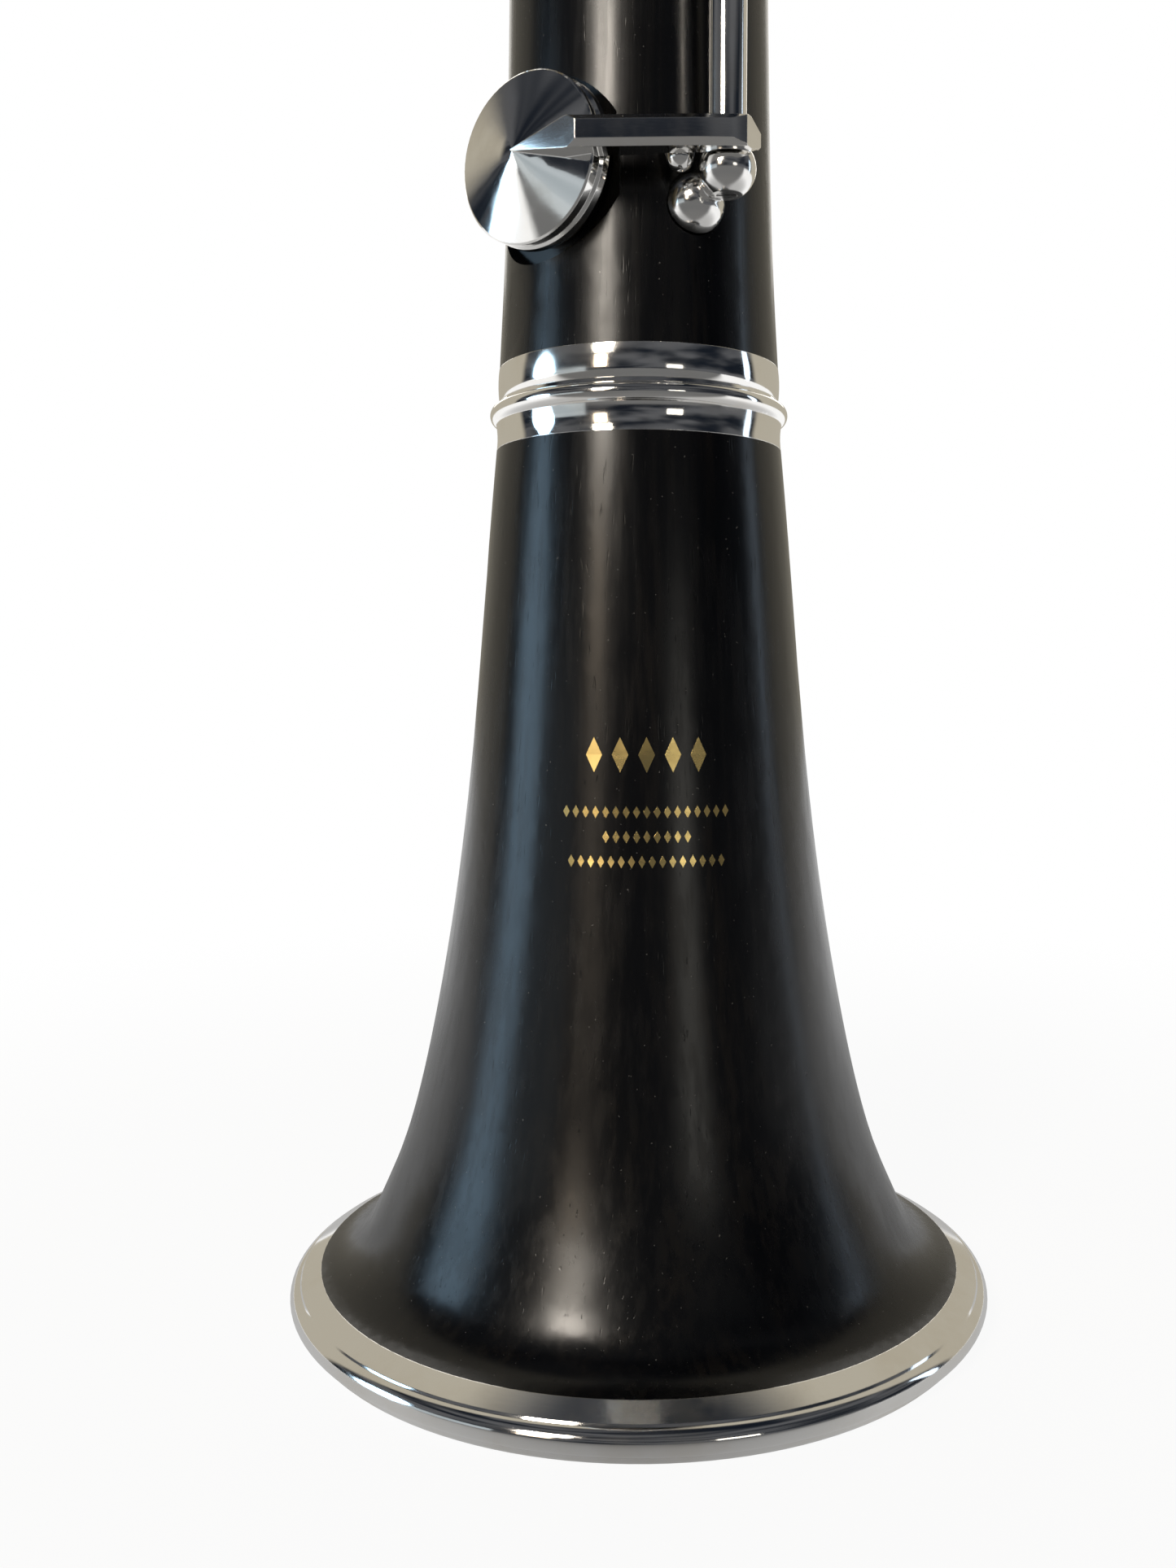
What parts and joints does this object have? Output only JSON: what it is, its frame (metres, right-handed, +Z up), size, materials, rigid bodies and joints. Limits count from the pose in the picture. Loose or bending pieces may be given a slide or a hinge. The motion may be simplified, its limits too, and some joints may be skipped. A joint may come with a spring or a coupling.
{
  "type": "clarinet",
  "caption": "Soprano clarinet in black wood with plated rings and keywork, standing on its bell; every key, finger ring and lever turns on its own hinge.",
  "frame": {"origin": "centre of the bell's flat foot, where the instrument stands", "axes": "+Z up the bore towards the mouthpiece, -Y the front where the fingers go, +X to the right as seen from the front"},
  "size_m": [0.08, 0.08, 0.664],
  "materials": {
    "grenadilla": "satin oiled black wood with fine pores",
    "silver_plate": "polished silver plate",
    "ebonite": "polished black hard rubber",
    "cane": "pale scraped cane",
    "cork": "greased sheet cork",
    "pad_skin": "stretched pale skin over felt",
    "blued_steel": "blued spring steel",
    "bright_steel": "turned bright steel"
  },
  "bodies": {
    "body": {"lower_joint_posts": "silver_plate", "pivot_screws": "bright_steel", "needle_springs": "blued_steel", "hinge_rods": "bright_steel", "upper_joint_posts": "silver_plate", "register_tube": "silver_plate", "thumb_rest_screws": "bright_steel", "thumb_rest": "silver_plate", "bell": "grenadilla", "bell_socket_ring": "silver_plate", "bell_rim_ring": "silver_plate", "tenon_corks": "cork", "lower_joint": "grenadilla", "lower_joint_end_ring": "silver_plate", "lower_joint_socket_ring": "silver_plate", "upper_joint": "grenadilla", "barrel": "grenadilla", "barrel_rings": "silver_plate", "mouthpiece": "ebonite", "reed": "cane", "ligature_screws": "silver_plate", "ligature_band": "silver_plate"},
    "low_e_key": {"low_e_key": "silver_plate", "low_e_key_pad": "pad_skin"},
    "low_f_key": {"low_f_key": "silver_plate", "low_f_key_pad": "pad_skin"},
    "low_f_sharp_key": {"low_f_sharp_key": "silver_plate", "low_f_sharp_key_pad": "pad_skin"},
    "low_a_flat_key": {"low_a_flat_key": "silver_plate", "low_a_flat_key_pad": "pad_skin"},
    "left_f_sharp_lever": {"left_f_sharp_lever": "silver_plate"},
    "left_e_lever": {"left_e_lever": "silver_plate"},
    "right_hand_ring_key": {"right_hand_ring_key": "silver_plate", "right_hand_ring_key_pad": "pad_skin"},
    "second_finger_ring_key": {"second_finger_ring_key": "silver_plate", "second_finger_ring_key_pad": "pad_skin"},
    "first_finger_ring_key": {"first_finger_ring_key": "silver_plate", "first_finger_ring_key_pad": "pad_skin"},
    "thumb_ring_key": {"thumb_ring_key": "silver_plate", "thumb_ring_key_pad": "pad_skin"},
    "right_cross_key": {"right_cross_key": "silver_plate", "right_cross_key_pad": "pad_skin"},
    "left_cross_key": {"left_cross_key": "silver_plate", "left_cross_key_pad": "pad_skin"},
    "upper_trill_key": {"upper_trill_key": "silver_plate", "upper_trill_key_pad": "pad_skin"},
    "lower_trill_key": {"lower_trill_key": "silver_plate", "lower_trill_key_pad": "pad_skin"},
    "side_f_sharp_key": {"side_f_sharp_key": "silver_plate", "side_f_sharp_key_pad": "pad_skin"},
    "side_e_flat_key": {"side_e_flat_key": "silver_plate", "side_e_flat_key_pad": "pad_skin"},
    "throat_a_key": {"throat_a_key": "silver_plate", "throat_a_key_pad": "pad_skin"},
    "throat_g_sharp_key": {"throat_g_sharp_key": "silver_plate", "throat_g_sharp_key_pad": "pad_skin"},
    "c_sharp_key": {"c_sharp_key": "silver_plate", "c_sharp_key_pad": "pad_skin"},
    "register_key": {"register_key": "silver_plate", "register_key_pad": "pad_skin"}
  },
  "joints": [
    {"name": "low_e_key_hinge", "type": "hinge", "parent": "body", "child": "low_e_key", "pos_m": [0.0088, -0.01661, 0], "axis": [0, 0, 1], "range_deg": [-8.5, 0], "stiffness_Nm_per_rad": 0.02, "springref_deg": 20.05},
    {"name": "low_f_key_hinge", "type": "hinge", "parent": "body", "child": "low_f_key", "pos_m": [-0.017, 0.00456, 0], "axis": [0, 0, 1], "range_deg": [0, 11], "stiffness_Nm_per_rad": 0.02, "springref_deg": -20.05},
    {"name": "low_f_sharp_key_hinge", "type": "hinge", "parent": "body", "child": "low_f_sharp_key", "pos_m": [0.0026, -0.01741, 0], "axis": [0, 0, 1], "range_deg": [-9, 0], "stiffness_Nm_per_rad": 0.02, "springref_deg": 20.05},
    {"name": "low_a_flat_key_hinge", "type": "hinge", "parent": "body", "child": "low_a_flat_key", "pos_m": [-0.017, 0.00456, 0], "axis": [0, 0, 1], "range_deg": [0, 11], "stiffness_Nm_per_rad": 0.02, "springref_deg": -20.05},
    {"name": "left_f_sharp_lever_hinge", "type": "hinge", "parent": "body", "child": "left_f_sharp_lever", "pos_m": [0.01707, -0.0021, 0.268], "axis": [0.1219, 0.9925, 0], "range_deg": [-3.1, 0]},
    {"name": "left_e_lever_hinge", "type": "hinge", "parent": "body", "child": "left_e_lever", "pos_m": [0.01571, 0.007, 0.252], "axis": [-0.4067, 0.9135, 0], "range_deg": [-3.4, 0]},
    {"name": "right_hand_ring_key_hinge", "type": "hinge", "parent": "body", "child": "right_hand_ring_key", "pos_m": [-0.01131, -0.01348, 0], "axis": [0, 0, 1], "range_deg": [0, 4], "stiffness_Nm_per_rad": 0.02, "springref_deg": -20.05},
    {"name": "second_finger_ring_key_hinge", "type": "hinge", "parent": "body", "child": "second_finger_ring_key", "pos_m": [-0.01131, -0.01348, 0], "axis": [0, 0, 1], "range_deg": [0, 4]},
    {"name": "first_finger_ring_key_hinge", "type": "hinge", "parent": "body", "child": "first_finger_ring_key", "pos_m": [-0.01131, -0.01348, 0], "axis": [0, 0, 1], "range_deg": [0, 4], "stiffness_Nm_per_rad": 0.02, "springref_deg": -20.05},
    {"name": "thumb_ring_key_hinge", "type": "hinge", "parent": "body", "child": "thumb_ring_key", "pos_m": [0.01131, 0.01348, 0], "axis": [0, 0, 1], "range_deg": [0, 6], "stiffness_Nm_per_rad": 0.02, "springref_deg": -20.05},
    {"name": "right_cross_key_hinge", "type": "hinge", "parent": "body", "child": "right_cross_key", "pos_m": [0.01035, -0.01424, 0], "axis": [0, 0, 1], "range_deg": [-11, 0], "stiffness_Nm_per_rad": 0.02, "springref_deg": 20.05},
    {"name": "left_cross_key_hinge", "type": "hinge", "parent": "body", "child": "left_cross_key", "pos_m": [0.01035, -0.01424, 0], "axis": [0, 0, 1], "range_deg": [-11, 0], "stiffness_Nm_per_rad": 0.02, "springref_deg": 20.05},
    {"name": "upper_trill_key_hinge", "type": "hinge", "parent": "body", "child": "upper_trill_key", "pos_m": [-0.0175, -0.00184, 0], "axis": [0, 0, 1], "range_deg": [0, 12], "stiffness_Nm_per_rad": 0.02, "springref_deg": -20.05},
    {"name": "lower_trill_key_hinge", "type": "hinge", "parent": "body", "child": "lower_trill_key", "pos_m": [-0.01743, 0.00245, 0], "axis": [0, 0, 1], "range_deg": [0, 12], "stiffness_Nm_per_rad": 0.02, "springref_deg": -20.05},
    {"name": "side_f_sharp_key_hinge", "type": "hinge", "parent": "body", "child": "side_f_sharp_key", "pos_m": [-0.01632, 0.00659, 0], "axis": [0, 0, 1], "range_deg": [0, 12], "stiffness_Nm_per_rad": 0.02, "springref_deg": -20.05},
    {"name": "side_e_flat_key_hinge", "type": "hinge", "parent": "body", "child": "side_e_flat_key", "pos_m": [-0.01424, 0.01035, 0], "axis": [0, 0, 1], "range_deg": [0, 12], "stiffness_Nm_per_rad": 0.02, "springref_deg": -20.05},
    {"name": "throat_a_key_hinge", "type": "hinge", "parent": "body", "child": "throat_a_key", "pos_m": [0, -0.0172, 0.45], "axis": [1, 0, 0], "range_deg": [0, 5], "stiffness_Nm_per_rad": 0.02, "springref_deg": -20.05},
    {"name": "throat_g_sharp_key_hinge", "type": "hinge", "parent": "body", "child": "throat_g_sharp_key", "pos_m": [0.01318, -0.01106, 0.445], "axis": [0.6428, 0.766, 0], "range_deg": [0, 6], "stiffness_Nm_per_rad": 0.02, "springref_deg": -20.05},
    {"name": "c_sharp_key_hinge", "type": "hinge", "parent": "body", "child": "c_sharp_key", "pos_m": [0.01711, -0.0018, 0.347], "axis": [0.1045, 0.9945, 0], "range_deg": [0, 6], "stiffness_Nm_per_rad": 0.02, "springref_deg": -20.05},
    {"name": "register_key_hinge", "type": "hinge", "parent": "body", "child": "register_key", "pos_m": [0, 0.0172, 0.464], "axis": [-1, 0, 0], "range_deg": [0, 4.5], "stiffness_Nm_per_rad": 0.02, "springref_deg": -20.05}
  ],
  "couplings": [
    {"joint": "left_e_lever_hinge", "follows": "low_e_key_hinge", "ratio": 0.4},
    {"joint": "left_f_sharp_lever_hinge", "follows": "low_f_sharp_key_hinge", "ratio": 0.34444},
    {"joint": "second_finger_ring_key_hinge", "follows": "right_hand_ring_key_hinge", "ratio": 1}
  ]
}
